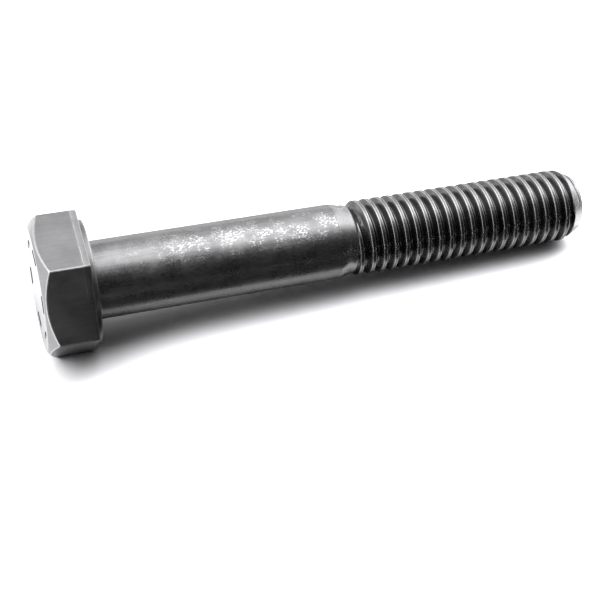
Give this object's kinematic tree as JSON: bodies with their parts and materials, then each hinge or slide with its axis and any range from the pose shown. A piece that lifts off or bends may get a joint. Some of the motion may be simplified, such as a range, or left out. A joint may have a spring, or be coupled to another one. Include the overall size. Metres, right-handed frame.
{
  "type": "hexagon head bolt",
  "caption": "Black hexagon head bolt, partly threaded: chamfered head with a washer face, plain shank, right-hand metric thread and chamfered point.",
  "frame": {"origin": "centre of the head's end face, on the bolt's axis; the bearing face under the head is 5.3 mm along +X from it", "axes": "+X along the bolt's axis from the head to the point; two opposite wrench flats face +Z and -Z, and two corners of the hexagon point at +Y and -Y; at rest the bolt lies on the -Z flat"},
  "size_m": [0.0588, 0.015, 0.013],
  "materials": {
    "head_steel": "black oxide, satin",
    "shank_steel": "black oxide, lightly mottled",
    "thread_steel": "black oxide, oiled"
  },
  "bodies": {
    "root": {"head_crown": "head_steel", "head_hexagon": "head_steel", "washer_face": "head_steel", "underhead_fillet": "shank_steel", "shank": "shank_steel", "thread_runout": "thread_steel", "thread": "thread_steel", "point": "thread_steel"}
  },
  "joints": []
}
